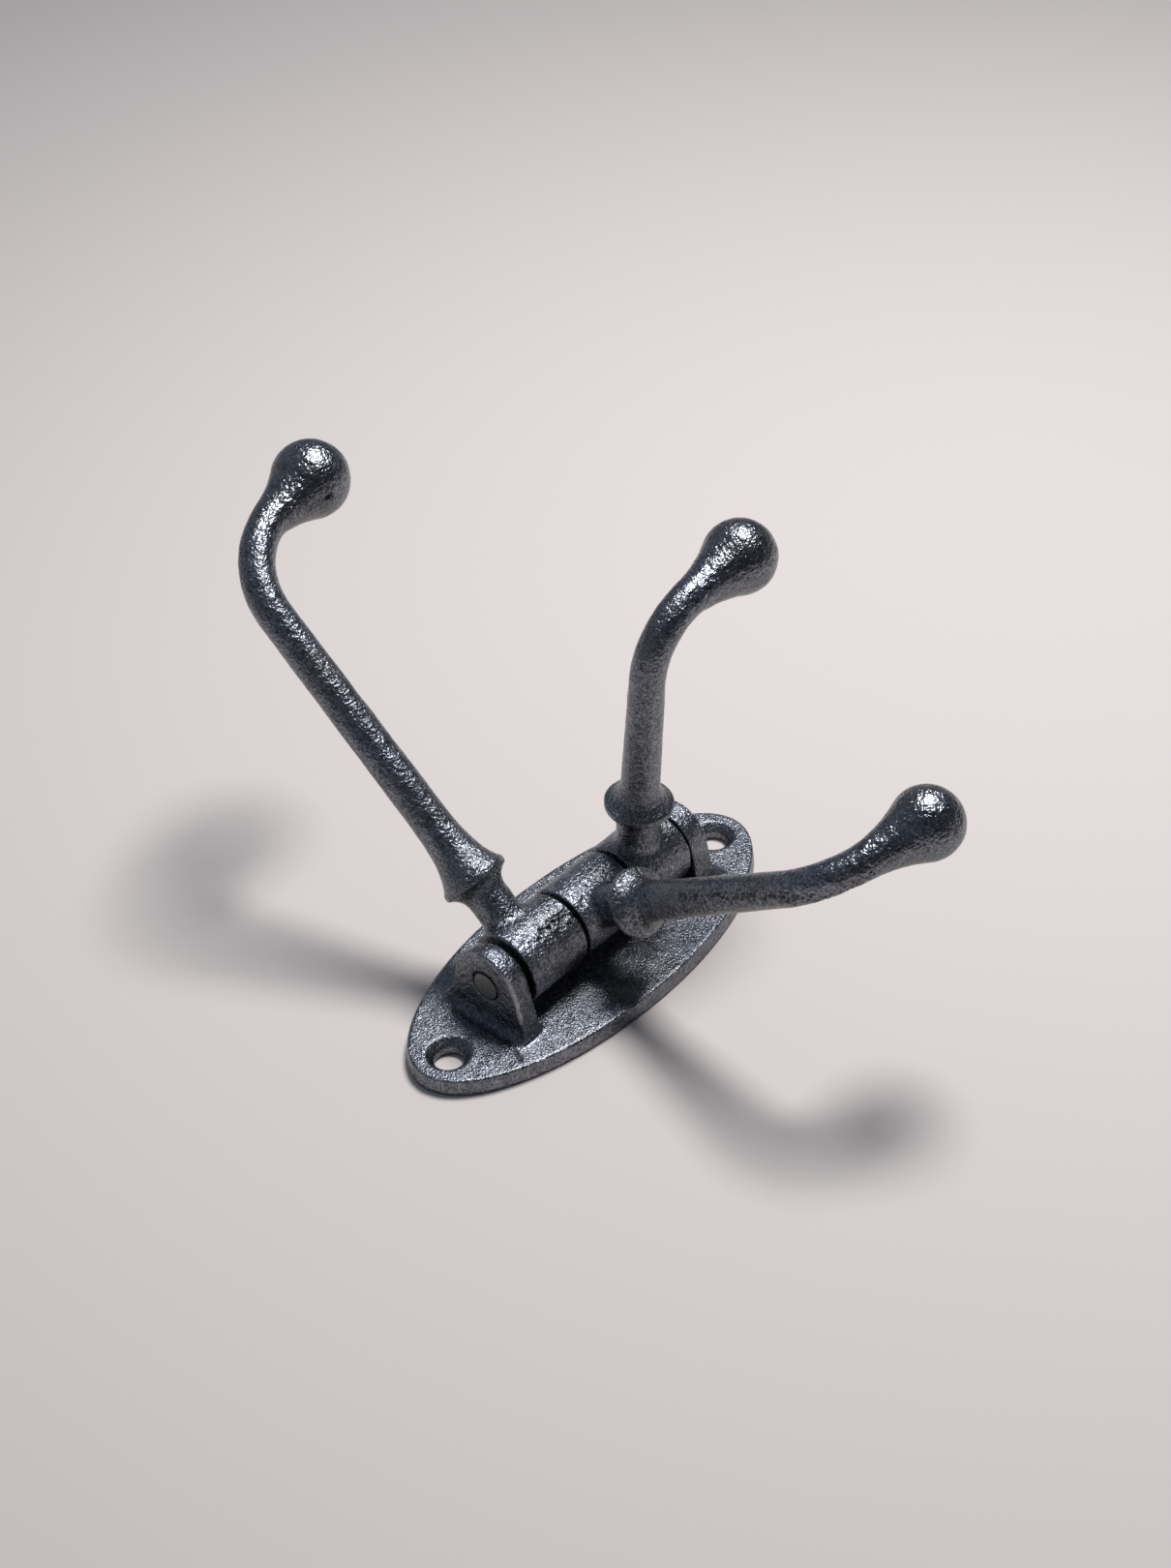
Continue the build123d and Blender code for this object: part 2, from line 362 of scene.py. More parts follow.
def cast_skin_tree():
    """Softens a dense mesh's edges and raises sand grain, lumps and gas pits along its normals.

    It leaves alone what turns on the pin, and stores how convex the surface is,
    how high the grain stands and how rubbed the skin is, for the finish. Every
    input but the geometry is set by the modifier that uses the tree.
    """
    tree = bpy.data.node_groups.new("Cast skin", "GeometryNodeTree")
    for name, kind in SKIN_INPUTS.items():
        tree.interface.new_socket(name, in_out="INPUT", socket_type=kind)
    tree.interface.new_socket("Geometry", in_out="OUTPUT", socket_type="NodeSocketGeometry")
    source = add(tree, "NodeGroupInput").outputs

    position = add(tree, "GeometryNodeInputPosition").outputs[0]
    normal = add(tree, "GeometryNodeInputNormal").outputs[0]

    clear = add(tree, "ShaderNodeMath", {0: source["Bore reach"], 1: BORE_FADE}, operation="ADD")
    free = add(tree, "ShaderNodeMapRange", {
        "Value": distance_from_pin(tree, position), "From Min": source["Bore reach"],
        "From Max": clear.outputs[0]}, interpolation_type="SMOOTHSTEP").outputs[0]

    soft = add(tree, "GeometryNodeBlurAttribute", {
        "Value": position, "Iterations": source["Softening"], "Weight": free},
        data_type="FLOAT_VECTOR")
    soft_mesh = add(tree, "GeometryNodeSetPosition", {
        "Geometry": source["Geometry"], "Position": soft.outputs[0]}).outputs[0]

    # Convexity: how far a point stands proud of its surroundings
    level = add(tree, "GeometryNodeBlurAttribute", {"Value": position, "Iterations": LEVEL_STEPS},
                data_type="FLOAT_VECTOR")
    proud = add(tree, "ShaderNodeVectorMath", {0: position, 1: level.outputs[0]},
                operation="SUBTRACT")
    above = add(tree, "ShaderNodeVectorMath", {0: proud.outputs[0], 1: normal},
                operation="DOT_PRODUCT")
    convex = add(tree, "ShaderNodeMath", {0: above.outputs["Value"], 1: CONVEX_UNIT},
                 operation="DIVIDE")
    marked = add(tree, "GeometryNodeStoreNamedAttribute", {
        "Geometry": soft_mesh, "Name": "convex", "Value": convex.outputs[0]},
        data_type="FLOAT", domain="POINT").outputs[0]

    def wave(size_name, offset):
        """Noise of a given width, from -1 to 1."""
        scale = add(tree, "ShaderNodeMath", {0: 1.0, 1: source[size_name]}, operation="DIVIDE")
        turn = add(tree, "ShaderNodeMath", {0: source["Seed"], 1: offset}, operation="ADD")
        texture = add(tree, "ShaderNodeTexNoise", {
            "Vector": position, "W": turn.outputs[0], "Scale": scale.outputs[0],
            "Detail": 2.0, "Roughness": 0.55}, noise_dimensions="4D")
        return add(tree, "ShaderNodeMapRange", {
            "Value": texture.outputs[0], "From Min": WAVE_LOW, "From Max": WAVE_HIGH,
            "To Min": -1.0, "To Max": 1.0}, clamp=True).outputs[0]

    grain = wave("Grain size", 0.0)
    lumps = wave("Lump size", LUMP_TURN)
    cell_scale = add(tree, "ShaderNodeMath", {0: 1.0, 1: source["Pit spacing"]},
                     operation="DIVIDE")
    cells = add(tree, "ShaderNodeTexVoronoi", {
        "Vector": position, "W": source["Seed"], "Scale": cell_scale.outputs[0],
        "Randomness": 1.0}, voronoi_dimensions="4D", feature="F1")
    pits = add(tree, "ShaderNodeMapRange", {
        "Value": cells.outputs["Distance"], "From Min": PIT_FLOOR, "From Max": PIT_RIM,
        "To Min": -1.0, "To Max": 0.0}, interpolation_type="SMOOTHSTEP").outputs[0]

    to_ball = add(tree, "ShaderNodeVectorMath", {0: position, 1: source["Ball centre"]},
                  operation="DISTANCE")
    rubbed_full = add(tree, "ShaderNodeMath", {0: source["Rubbed reach"], 1: RUBBED_FULL},
                      operation="MULTIPLY")
    rubbed = add(tree, "ShaderNodeMapRange", {
        "Value": to_ball.outputs["Value"], "From Min": rubbed_full.outputs[0],
        "From Max": source["Rubbed reach"], "To Min": 1.0, "To Max": 0.0},
        interpolation_type="SMOOTHSTEP").outputs[0]
    sharpness = add(tree, "ShaderNodeMath", {0: rubbed, 1: -RUBBED_LOSS, 2: 1.0},
                    operation="MULTIPLY_ADD")
    grain_kept = add(tree, "ShaderNodeMath", {0: grain, 1: sharpness.outputs[0]},
                     operation="MULTIPLY").outputs[0]

    # A wave runs from -1 to 1 and its depth is from crest to trough, so half of it is used
    total = 0.0
    for height, depth in ((grain_kept, "Grain depth"), (lumps, "Lump depth"),
                          (pits, "Pit depth")):
        total = add(tree, "ShaderNodeMath", {0: height, 1: source[depth], 2: total},
                    operation="MULTIPLY_ADD").outputs[0]
    half = add(tree, "ShaderNodeMath", {0: total, 1: 0.5}, operation="MULTIPLY")
    held = add(tree, "ShaderNodeMath", {0: half.outputs[0], 1: free}, operation="MULTIPLY")
    lift = add(tree, "ShaderNodeVectorMath", {0: normal, "Scale": held.outputs[0]},
               operation="SCALE")
    raised = add(tree, "GeometryNodeSetPosition", {
        "Geometry": marked, "Offset": lift.outputs[0]}).outputs[0]
    grained = add(tree, "GeometryNodeStoreNamedAttribute", {
        "Geometry": raised, "Name": "grain", "Value": grain}, data_type="FLOAT", domain="POINT")

    rubbed_marked = add(tree, "GeometryNodeStoreNamedAttribute", {
        "Geometry": grained.outputs[0], "Name": "rubbed", "Value": rubbed},
        data_type="FLOAT", domain="POINT")

    real = add(tree, "GeometryNodeRealizeInstances", {"Geometry": rubbed_marked.outputs[0]})
    smooth = add(tree, "GeometryNodeSetShadeSmooth", {"Geometry": real.outputs[0]})
    dressed = add(tree, "GeometryNodeSetMaterial", {
        "Geometry": smooth.outputs[0], "Material": source["Material"]})
    add(tree, "NodeGroupOutput", {0: dressed.outputs[0]})
    return tree


def set_inputs(modifier, values):
    """Sets a node modifier's inputs, given by name, through their identifiers."""
    for item in modifier.node_group.interface.items_tree:
        if item.item_type == "SOCKET" and item.in_out == "INPUT" and item.name in values:
            modifier[item.identifier] = values[item.name]


def applied(obj, name):
    """The object's evaluated mesh as a plain mesh with no modifiers left."""
    depsgraph = bpy.context.evaluated_depsgraph_get()
    mesh = bpy.data.meshes.new_from_object(
        obj.evaluated_get(depsgraph), preserve_all_data_layers=True, depsgraph=depsgraph)
    mesh.name = name
    obj.modifiers.clear()
    old = obj.data
    obj.data = mesh
    bpy.data.meshes.remove(old)
    return obj


def vertex_places(mesh):
    """A mesh's vertices as rows of X, Y and Z."""
    place = np.empty(3 * len(mesh.vertices))
    mesh.vertices.foreach_get("co", place)
    return place.reshape(-1, 3)


def vertex_values(mesh, name):
    """An attribute's number at each of a mesh's vertices."""
    values = np.empty(len(mesh.vertices))
    mesh.attributes[name].data.foreach_get("value", values)
    return values


def distance_to_line(place, start, end):
    """How far each row of place is from the line between two points."""
    along = end - start
    share = np.clip((place - start) @ along / (along @ along), 0.0, 1.0)
    return np.linalg.norm(place - start - share[:, None] * along, axis=1)


def ramp(values, start, end):
    """How far values have gone from start to end, as a share."""
    return np.clip((values - start) / (end - start), 0.0, 1.0)


def press_flaws(mesh, flaws):
    """Sinks grooves and pits into a mesh along its normals and marks them as hollows."""
    place = vertex_places(mesh)
    normal = np.empty(place.size)
    mesh.vertex_normals.foreach_get("vector", normal)
    normal = normal.reshape(-1, 3)
    height = vertex_values(mesh, "grain")
    for start, end, half_width, depth in flaws:
        away = distance_to_line(place, np.array(start) * MM, np.array(end) * MM)
        near = np.clip(1.0 - away / (half_width * MM), 0.0, 1.0)
        fall = near * near * (3.0 - 2.0 * near)
        place -= normal * (depth * MM * fall)[:, None]
        height = np.minimum(height, 1.0 - FLAW_SHADE * fall)
    mesh.vertices.foreach_set("co", place.ravel())
    mesh.attributes["grain"].data.foreach_set("value", height)
    mesh.update()


def scattered_pits(mesh, band, rng):
    """Random small pits about a line on a mesh, in the form that press_flaws takes."""
    line, spread, count = band
    place = vertex_places(mesh) / MM
    away = np.full(len(place), np.inf)
    for start, end in zip(line, line[1:]):
        away = np.minimum(away, distance_to_line(place, np.array(start), np.array(end)))
    near = np.flatnonzero(away < spread)
    chance = (1.0 - away[near] / spread) + PIT_EDGE_CHANCE
    pits = []
    for centre in place[rng.choice(near, size=count, replace=False, p=chance / chance.sum())]:
        half_width = rng.uniform(*PIT_HALF_WIDTHS)
        stretch = rng.normal(0.0, PIT_STRETCH, 3)
        depth = half_width * rng.uniform(*PIT_DEPTH_SHARES)
        pits.append((centre, centre + stretch, half_width, depth))
    return pits


def mark_lines(mesh, half_width, mark, lines):
    """Writes a mark into the "convex" attribute along lines: high is bare, low darkens as painted
    shade.
    """
    place = vertex_places(mesh)
    edge = vertex_values(mesh, "convex")
    for start, end in lines:
        away = distance_to_line(place, np.array(start) * MM, np.array(end) * MM)
        edge += (mark - edge) * np.clip(1.5 - away / (half_width * MM), 0.0, 1.0)
    mesh.attributes["convex"].data.foreach_set("value", edge)


def widen_ears(mesh, near_draft, far_lift):
    """Gives the near ear its draft, wider at the outer face, and lifts the far ear's crown."""
    place = vertex_places(mesh)
    outward = place[:, :2] - np.array(PIN_AXIS[:2])
    outward[:, 1] = np.minimum(outward[:, 1], 0.0)
    reach = np.linalg.norm(outward, axis=1)
    flank = ramp(place[:, 1], *EAR_FLANK)
    near = 1.0 - (1.0 - ramp(place[:, 2], -EAR_INNER_FACE, -EAR_OUTER_FACE)) ** 3
    far = ramp(place[:, 1], *FAR_CROWN) * (place[:, 2] > EAR_INNER_FACE)
    step = (near_draft * near + far_lift * far) * ramp(reach, *EAR_RIM) * flank
    place[:, :2] += outward / np.maximum(reach, MM)[:, None] * step[:, None]
    # At its foot the near ear's left flank runs out to a toe
    toe = ramp(place[:, 1], *TOE_DROP) ** 2 * ramp(place[:, 0], *TOE_SIDE)
    place[:, 0] -= TOE_LENGTH * toe * flank * near
    tighten_foot(place)
    mesh.vertices.foreach_set("co", place.ravel())
    mesh.update()


def tighten_foot(place):
    """Draws the fillet between the near ear's outer face and the plate into their corner.

    Each place moves along its own ray from the fillet's centre, from the wide arc to the
    corner as a tight arc leaves it.
    """
    into_z = np.maximum(place[:, 2] + EAR_OUTER_FACE + FOOT_FILLET, 0.0)
    into_y = np.maximum(place[:, 1] - PLATE_FACE + FOOT_FILLET, 0.0)
    inside = (into_z > 0.0) & (into_y > 0.0) & (place[:, 2] < FILLET_MARGIN - EAR_OUTER_FACE)
    away = np.maximum(np.hypot(into_z, into_y), TINY)
    cos, sin = into_z / away, into_y / away
    shift = FOOT_FILLET - TIGHT_FILLET
    reach_arc = shift * (cos + sin) + np.sqrt(np.maximum(
        shift ** 2 * (cos + sin) ** 2 - 2 * shift ** 2 + TIGHT_FILLET ** 2, 0.0))
    reach_flat = FOOT_FILLET / np.maximum(np.maximum(cos, sin), 0.5)
    on_flat = np.minimum(cos, sin) < np.maximum(cos, sin) * shift / FOOT_FILLET
    reach = np.where(on_flat, reach_flat, reach_arc)
    room = np.maximum(reach - FOOT_FILLET, TINY)
    lift = (reach - FOOT_FILLET) * ramp(away, FOOT_FILLET - FILLET_SKIN, FOOT_FILLET)
    lift *= np.clip((reach - away) / room, 0.0, 1.0) * inside
    place[:, 2] += cos * lift
    place[:, 1] += sin * lift


def casting(node, name, voxel, settings, material, seed_step, lump_depth, pit_depth):
    """A dense copy of a cast node with the cast skin on it."""
    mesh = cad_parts[node].data.copy()
    work = bmesh.new()
    work.from_mesh(mesh)
    bmesh.ops.remove_doubles(work, verts=work.verts, dist=MERGE_DISTANCE)
    work.to_mesh(mesh)
    work.free()
    obj = bpy.data.objects.new(name, mesh)
    bpy.context.scene.collection.objects.link(obj)
    remesh = obj.modifiers.new("Even quads", "REMESH")
    remesh.mode = "VOXEL"
    remesh.voxel_size = voxel
    ball_centre = [MM * value for value in BALL_CENTRES[node]]
    skin = obj.modifiers.new("Cast skin", "NODES")
    skin.node_group = bpy.data.node_groups.get("Cast skin") or cast_skin_tree()
    set_inputs(skin, {
        "Softening": settings.softening,
        "Grain size": settings.grain_size, "Grain depth": settings.grain_depth,
        "Lump size": settings.lump_size, "Lump depth": lump_depth,
        "Pit spacing": settings.pit_size, "Pit depth": pit_depth,
        "Seed": settings.seed + seed_step, "Bore reach": BORE_REACH, "Material": material,
        "Ball centre": ball_centre, "Rubbed reach": settings.rubbed_reach})
    applied(obj, name)
    press_flaws(obj.data, FLAWS[node])
    rng = np.random.default_rng(settings.seed + seed_step)
    for band in PITTED_BANDS.get(node, []):
        press_flaws(obj.data, scattered_pits(obj.data, band, rng))
    return obj


def empty_material(name):
    """A new material and its node tree with nothing in it."""
    material = bpy.data.materials.new(name)
    material.use_nodes = True
    material.node_tree.nodes.clear()
    return material, material.node_tree


def waxed_iron(finish):
    """Sand-cast iron, tumbled and waxed: a dark, blue-grey metal with a fine wormy grain.

    The eye sees the grain glitter white against black in the light and the room
    reflected dark elsewhere, duller hollows where the wax lies thick, with painted
    shade at the near ear's foot, a browner cast painted on the sides turned to the
    wall as a painted reflection of the warm backdrop, painted shade on those sides
    near the balls, and edges rubbed a little brighter.
    """
    material, tree = empty_material("Waxed cast iron")
    place = add(tree, "ShaderNodeTexCoord").outputs
    mm = add(tree, "ShaderNodeVectorMath", {0: place["Object"], "Scale": 1 / MM},
             operation="SCALE").outputs[0]

    def pattern(size, detail, low, high):
        """Noise of a given width, from 0 where it is low to 1 where it is high."""
        texture = add(tree, "ShaderNodeTexNoise", {
            "Vector": mm, "Scale": MM / size, "Detail": detail, "Roughness": 0.6})
        return add(tree, "ShaderNodeMapRange", {
            "Value": texture.outputs[0], "From Min": low, "From Max": high}).outputs[0]

    fleck = pattern(finish.fleck_size, 1.5, 0.35, 0.65)
    dent = pattern(finish.dent_size, 1.0, 0.3, 0.7)
    patch = pattern(finish.patch_size, 3.0, 0.35, 0.65)
    stain = pattern(finish.stain_size, 2.0, 0.35, 0.65)
    grain = add(tree, "ShaderNodeAttribute", attribute_name="grain").outputs["Fac"]
    convex = add(tree, "ShaderNodeAttribute", attribute_name="convex").outputs["Fac"]
    rubbed = add(tree, "ShaderNodeAttribute", attribute_name="rubbed").outputs["Fac"]

    # Raised grain, flecks and some patches are light, and deep hollows dark
    grain_share, fleck_share, patch_share, evenly = 0.22, 0.50, 0.20, 0.42
    raised = add(tree, "ShaderNodeMath", {0: grain, 1: grain_share, 2: evenly},
                 operation="MULTIPLY_ADD")
    speck = add(tree, "ShaderNodeMath", {0: fleck, 1: fleck_share, 2: raised.outputs[0]},
                operation="MULTIPLY_ADD").outputs[0]
    shade = add(tree, "ShaderNodeMath", {0: patch, 1: patch_share, 2: speck},
                operation="MULTIPLY_ADD")
    # At the near ear's foot the marked hollow darkens the finish as painted shade
    hollow = add(tree, "ShaderNodeMapRange", {
        "Value": convex, "From Min": -0.8, "From Max": -4.0, "To Max": -0.30})
    sunk = add(tree, "ShaderNodeMath", {0: shade.outputs[0], 1: hollow.outputs[0]},
               operation="ADD")
    tone = add(tree, "ShaderNodeMapRange", {
        "Value": sunk.outputs[0], "From Min": 0.44, "From Max": 1.10}).outputs[0]
    body = add(tree, "ShaderNodeMix", {"Factor": tone, "A": finish.wax_dark_and_shade, "B": finish.iron},
               data_type="RGBA").outputs["Result"]

    # Brown painted on the sides turned to the wall as a painted reflection of the warm backdrop,
    # with real faint stains elsewhere
    facing = add(tree, "ShaderNodeSeparateXYZ", {0: place["Normal"]}).outputs["Y"]
    painted_reflection_side = add(tree, "ShaderNodeMapRange", {
        "Value": facing, "From Min": -0.15, "From Max": 0.5, "To Max": 0.6}).outputs[0]
    faint = add(tree, "ShaderNodeMath", {0: stain, 1: 0.25}, operation="MULTIPLY")
    reflection_and_stain = add(tree, "ShaderNodeMath", {0: painted_reflection_side, 1: faint.outputs[0]}, operation="MAXIMUM")
    reflected_and_stained = add(tree, "ShaderNodeMix", {
        "Factor": reflection_and_stain.outputs[0], "A": body, "B": finish.brown}, data_type="RGBA")

    # Near the balls the sides turned to the wall are darkened to the dark wax colour as painted
    # shade
    painted_underside_shade = add(tree, "ShaderNodeMath", {0: painted_reflection_side, 1: rubbed}, operation="MULTIPLY")
    underside_shade_amount = add(tree, "ShaderNodeMath", {0: painted_underside_shade.outputs[0], 1: 0.75},
                    operation="MULTIPLY")
    tinted = add(tree, "ShaderNodeMix", {
        "Factor": underside_shade_amount.outputs[0], "A": reflected_and_stained.outputs["Result"], "B": finish.wax_dark_and_shade},
        data_type="RGBA")

    # Sharp edges are worn, and the ear's crest is rubbed bare, pale and matt
    edge = add(tree, "ShaderNodeMapRange", {
        "Value": convex, "From Min": 3.4, "From Max": 7.0, "To Max": 0.7}).outputs[0]
    worn = add(tree, "ShaderNodeMath", {0: edge, 1: speck}, operation="MULTIPLY",
               use_clamp=True).outputs[0]
    brightened = add(tree, "ShaderNodeMix", {
        "Factor": worn, "A": tinted.outputs["Result"], "B": finish.bare_iron}, data_type="RGBA")
    crest = add(tree, "ShaderNodeMapRange", {
        "Value": convex, "From Min": 8.0, "From Max": 13.0}).outputs[0]
    bare = add(tree, "ShaderNodeMath", {0: crest, 1: speck}, operation="MULTIPLY",
               use_clamp=True).outputs[0]
    rubbed_bare = add(tree, "ShaderNodeMix", {
        "Factor": bare, "A": brightened.outputs["Result"], "B": finish.bare_iron},
        data_type="RGBA")
    metallic = add(tree, "ShaderNodeMath", {0: bare, 1: -0.7, 2: 1.0},
                   operation="MULTIPLY_ADD").outputs[0]

    # Wax and dirt lie black in the joint round the pin
    reach = distance_from_pin(tree, place["Object"])
    joint = add(tree, "ShaderNodeMapRange", {
        "Value": reach, "From Min": 3.45 * MM, "From Max": 3.8 * MM,
        "To Min": 0.93, "To Max": 0.0}).outputs[0]
    colour = add(tree, "ShaderNodeMix", {
        "Factor": joint, "A": rubbed_bare.outputs["Result"], "B": finish.joint},
        data_type="RGBA").outputs["Result"]

    # Flecks and rubbed skin are smoother, patches and bare iron rougher. The first term makes
    # up for the mean of flecks and patches.
    rough = finish.roughness + 0.04
    for height, more in ((fleck, -0.12), (patch, 0.06), (rubbed, -0.07), (bare, 0.3)):
        rough = add(tree, "ShaderNodeMath", {0: height, 1: more, 2: rough},
                    operation="MULTIPLY_ADD").outputs[0]

    # The plate is flat between its flecks, and everything off it is gently hammered
    off_wall = add(tree, "ShaderNodeSeparateXYZ", {0: place["Object"]}).outputs["Y"]
    dented = add(tree, "ShaderNodeMapRange", {
        "Value": off_wall, "From Min": -4.6 * MM, "From Max": -4.0 * MM,
        "To Min": 0.9, "To Max": 0.2}).outputs[0]
    hammered = add(tree, "ShaderNodeBump", {
        "Strength": dented, "Distance": finish.dent_depth, "Height": dent})
    # The flecks are deepest on the plate and barrels, and rubbed lower towards the balls
    coarse = add(tree, "ShaderNodeMapRange", {
        "Value": reach, "From Min": 18 * MM, "From Max": 34 * MM,
        "To Min": 1.0, "To Max": 0.8}).outputs[0]
    flecked = add(tree, "ShaderNodeMath", {0: rubbed, 1: -0.1, 2: coarse},
                  operation="MULTIPLY_ADD").outputs[0]
    bump = add(tree, "ShaderNodeBump", {
        "Strength": flecked, "Distance": finish.fleck_depth, "Height": fleck,
        "Normal": hammered.outputs[0]})
    shader = add(tree, "ShaderNodeBsdfPrincipled", {
        "Base Color": colour, "Metallic": metallic, "Roughness": rough,
        "Normal": bump.outputs[0]})
    add(tree, "ShaderNodeOutputMaterial", {"Surface": shader.outputs[0]})
    return material


def waxed_steel(finish):
    """Ground steel under dark wax: an even grey sheen with faint mottling and a black rim."""
    material, tree = empty_material("Waxed pin steel")
    place = add(tree, "ShaderNodeTexCoord").outputs["Object"]
    joint = add(tree, "ShaderNodeMapRange", {
        "Value": distance_from_pin(tree, place), "From Min": 2.9 * MM, "From Max": 3.1 * MM,
        "To Max": 0.93}).outputs[0]
    mottle = add(tree, "ShaderNodeTexNoise", {
        "Vector": place, "Scale": 1 / finish.mottle_size, "Detail": 3.0,
        "Roughness": 0.6}).outputs[0]
    cover = add(tree, "ShaderNodeMapRange", {
        "Value": mottle, "From Min": 0.30, "From Max": 0.55}).outputs[0]
    mottled = add(tree, "ShaderNodeMix", {
        "Factor": cover, "A": finish.brown, "B": finish.pin_steel}, data_type="RGBA")
    colour = add(tree, "ShaderNodeMix", {
        "Factor": joint, "A": mottled.outputs["Result"], "B": finish.joint},
        data_type="RGBA").outputs["Result"]
    rough = add(tree, "ShaderNodeMapRange", {
        "Value": mottle, "From Min": 0.3, "From Max": 0.7, "To Min": 0.44, "To Max": 0.34})
    bump = add(tree, "ShaderNodeBump", {
        "Strength": 0.6, "Distance": finish.mottle_depth, "Height": mottle})
    shader = add(tree, "ShaderNodeBsdfPrincipled", {
        "Base Color": colour, "Metallic": 1.0, "Roughness": rough.outputs[0],
        "Normal": bump.outputs[0]})
    add(tree, "ShaderNodeOutputMaterial", {"Surface": shader.outputs[0]})
    return material


def iron_material(context):
    """The four castings' one material, made at its first use."""
    return bpy.data.materials.get("Waxed cast iron") or waxed_iron(context.scene.hook_finish)


class HOOK_OT_backplate(bpy.types.Operator):
    """Make the oval plate with its two ears"""
    bl_idname = "hook.backplate"
    bl_label = "Backplate"

    def execute(self, context):
        settings = context.scene.hook_skin
        plate = casting("backplate", "backplate_casting", settings.plate_voxel, settings,
                        iron_material(context), 0, settings.plate_lump_depth,
                        settings.plate_pit_depth)
        widen_ears(plate.data, settings.near_ear_draft, settings.far_ear_lift)
        for half_width, mark, lines in MARKED_LINES:
            mark_lines(plate.data, half_width, mark, lines)
        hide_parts("backplate")
        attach(plate, "backplate")
        return {"FINISHED"}


class HOOK_OT_arms(bpy.types.Operator):
    """Make the three swinging arms"""
    bl_idname = "hook.arms"
    bl_label = "Arms"

    def execute(self, context):
        settings = context.scene.hook_skin
        for step, node in enumerate(("lower_arm", "middle_arm", "upper_arm"), start=1):
            arm = casting(node, node + "_casting", settings.arm_voxel, settings,
                          iron_material(context), step, settings.lump_depth, settings.pit_depth)
            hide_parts(node)
            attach(arm, node)
        return {"FINISHED"}


class HOOK_OT_pin(bpy.types.Operator):
    """Finish the pin that the arms swing on"""
    bl_idname = "hook.pin"
    bl_label = "Pin"

    def execute(self, context):
        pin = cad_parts["pivot_pin"]
        pin.data.materials.clear()
        pin.data.materials.append(waxed_steel(context.scene.hook_finish))
        return {"FINISHED"}


def oval(work, half_width, half_length, middle, sides):
    """Adds an oval of vertices to the backdrop, about a middle up the wall."""
    return [
        work.verts.new((half_width * math.cos(angle), BACKDROP_BEHIND,
                        middle + half_length * math.sin(angle)))
        for angle in (math.tau * k / sides for k in range(sides))]


def backdrop_mesh():
    """A wide ring round the plate's hidden footprint, and a disc under each screw hole."""
    low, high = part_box("backplate")
    work = bmesh.new()
    inner = oval(work, (high.x - low.x) / 2 - BACKDROP_INSET,
                 (high.z - low.z) / 2 - BACKDROP_INSET, 0.0, BACKDROP_SIDES)
    outer = oval(work, BACKDROP_RADIUS, BACKDROP_RADIUS, 0.0, BACKDROP_SIDES)
    for k in range(BACKDROP_SIDES):
        after = (k + 1) % BACKDROP_SIDES
        work.faces.new((inner[k], inner[after], outer[after], outer[k]))
    for middle in (-SCREW_HOLE_OFFSET, SCREW_HOLE_OFFSET):
        work.faces.new(oval(work, HOLE_DISC_RADIUS, HOLE_DISC_RADIUS, middle, HOLE_DISC_SIDES))
    bmesh.ops.recalc_face_normals(work, faces=work.faces)
    for face in work.faces:
        if face.normal.y > 0:
            face.normal_flip()
    mesh = bpy.data.meshes.new("backdrop")
    work.to_mesh(mesh)
    work.free()
    return mesh


def backdrop_material(settings):
    """Pale matt plaster, seen from the front only."""
    material, tree = empty_material("Pale matt backdrop")
    paint = add(tree, "ShaderNodeBsdfPrincipled", {
        "Base Color": settings.floor_colour, "Roughness": 0.85, "Specular IOR Level": 0.2})
    clear = add(tree, "ShaderNodeBsdfTransparent")
    back = add(tree, "ShaderNodeNewGeometry").outputs["Backfacing"]
    shown = add(tree, "ShaderNodeMixShader", {0: back, 1: paint.outputs[0], 2: clear.outputs[0]})
    add(tree, "ShaderNodeOutputMaterial", {"Surface": shown.outputs[0]})
    return material


def room_light(settings):
    """A world that is lighter on the left of the hook than on its right."""
    world = bpy.data.worlds.new("Even studio light")
    world.use_nodes = True
    tree = world.node_tree
    heading = add(tree, "ShaderNodeTexCoord").outputs["Generated"]
    sideways = add(tree, "ShaderNodeSeparateXYZ", {0: heading}).outputs["X"]
    strength = add(tree, "ShaderNodeMapRange", {
        "Value": sideways, "From Min": -1.0, "From Max": 1.0,
        "To Min": settings.left_fill, "To Max": settings.right_fill}).outputs[0]
    background = tree.nodes["Background"]
    background.inputs["Color"].default_value = settings.sky
    tree.links.new(strength, background.inputs["Strength"])
    return world


def aim(location, target, lean):
    """A matrix at location that looks at target, leaning by an angle from upright."""
    forward = (target - location).normalized()
    right = forward.cross(Vector((0, 0, 1))).normalized()
    upright = right.cross(forward)
    up = upright * math.cos(lean) + right * math.sin(lean)
    side = forward.cross(up)
    matrix = Matrix((side, up, -forward)).transposed().to_4x4()
    matrix.translation = location
    return matrix


def key_lamp(settings):
    """One soft round lamp in front of the wall, above the hook."""
    lamp = bpy.data.lights.new("key lamp", "AREA")
    lamp.shape = "DISK"
    lamp.size = settings.key_size
    lamp.energy = settings.key_power
    lamp.color = settings.key_colour[:3]
    obj = bpy.data.objects.new("key lamp", lamp)
    obj.matrix_world = aim(KEY_LAMP_PLACE, Vector((0.0, 0.0, 0.0)), 0.0)
    return obj


def camera_eye(settings):
    """The camera, placed so that the hook is seen as in the photograph."""
    camera = bpy.data.cameras.new("camera")
    camera.lens = settings.lens
    camera.sensor_width = SENSOR_WIDTH
    camera.clip_start = 10 * MM
    obj = bpy.data.objects.new("camera", camera)
    obj.matrix_world = aim(CAMERA_PLACE, CAMERA_TARGET, CAMERA_LEAN)
    return obj


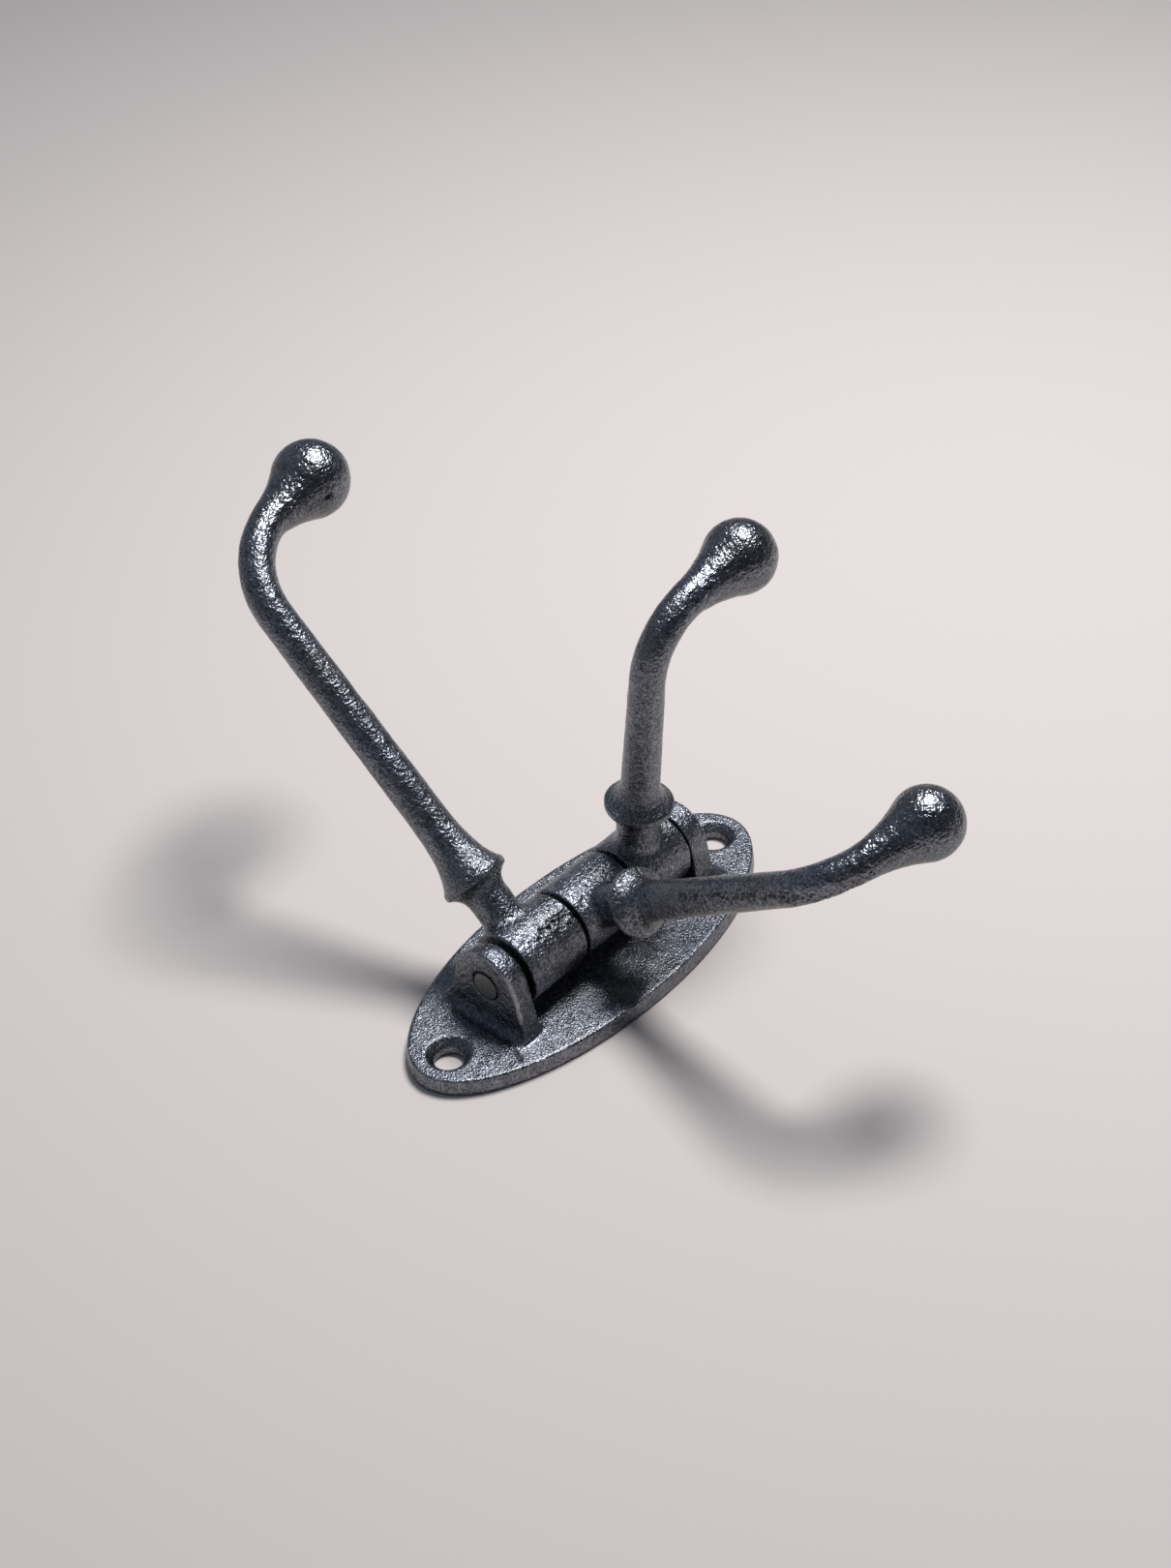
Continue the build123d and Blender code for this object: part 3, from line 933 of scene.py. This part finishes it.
class HOOK_OT_stage(bpy.types.Operator):
    """Set the pale backdrop, the lamp, the room's light and the camera"""
    bl_idname = "hook.stage"
    bl_label = "Stage"

    def execute(self, context):
        settings = context.scene.hook_stage
        backdrop = bpy.data.objects.new("backdrop", backdrop_mesh())
        backdrop.data.materials.append(backdrop_material(settings))
        context.scene.collection.objects.link(backdrop)

        context.scene.collection.objects.link(key_lamp(settings))
        context.scene.world = room_light(settings)
        eye = camera_eye(settings)
        context.scene.collection.objects.link(eye)
        context.scene.camera = eye
        context.scene.view_settings.view_transform = "Standard"
        return {"FINISHED"}


class HOOK_PT_panel(bpy.types.Panel):
    """Every setting, and a button for each step"""
    bl_idname = "HOOK_PT_panel"
    bl_label = "Wall hook"
    bl_space_type = "VIEW_3D"
    bl_region_type = "UI"
    bl_category = "Wall hook"

    def draw(self, context):
        layout = self.layout
        scene = context.scene
        for group in (scene.hook_skin, scene.hook_finish, scene.hook_stage):
            for name in group.__annotations__:
                layout.prop(group, name)
        for operator in (HOOK_OT_backplate, HOOK_OT_arms, HOOK_OT_pin, HOOK_OT_stage):
            layout.operator(operator.bl_idname)


CLASSES = (CastSkinSettings, FinishSettings, StageSettings, HOOK_OT_backplate, HOOK_OT_arms,
           HOOK_OT_pin, HOOK_OT_stage, HOOK_PT_panel)


def register():
    """Registers the settings, the operators and the panel."""
    for cls in CLASSES:
        bpy.utils.register_class(cls)
    bpy.types.Scene.hook_skin = PointerProperty(type=CastSkinSettings)
    bpy.types.Scene.hook_finish = PointerProperty(type=FinishSettings)
    bpy.types.Scene.hook_stage = PointerProperty(type=StageSettings)


def unregister():
    """Takes back what register does."""
    del bpy.types.Scene.hook_stage
    del bpy.types.Scene.hook_finish
    del bpy.types.Scene.hook_skin
    for cls in reversed(CLASSES):
        bpy.utils.unregister_class(cls)


def main():
    """Builds the dressed hook."""
    register()
    bpy.ops.hook.stage()
    bpy.ops.hook.backplate()
    bpy.ops.hook.arms()
    bpy.ops.hook.pin()


if __name__ == "__main__":
    main()
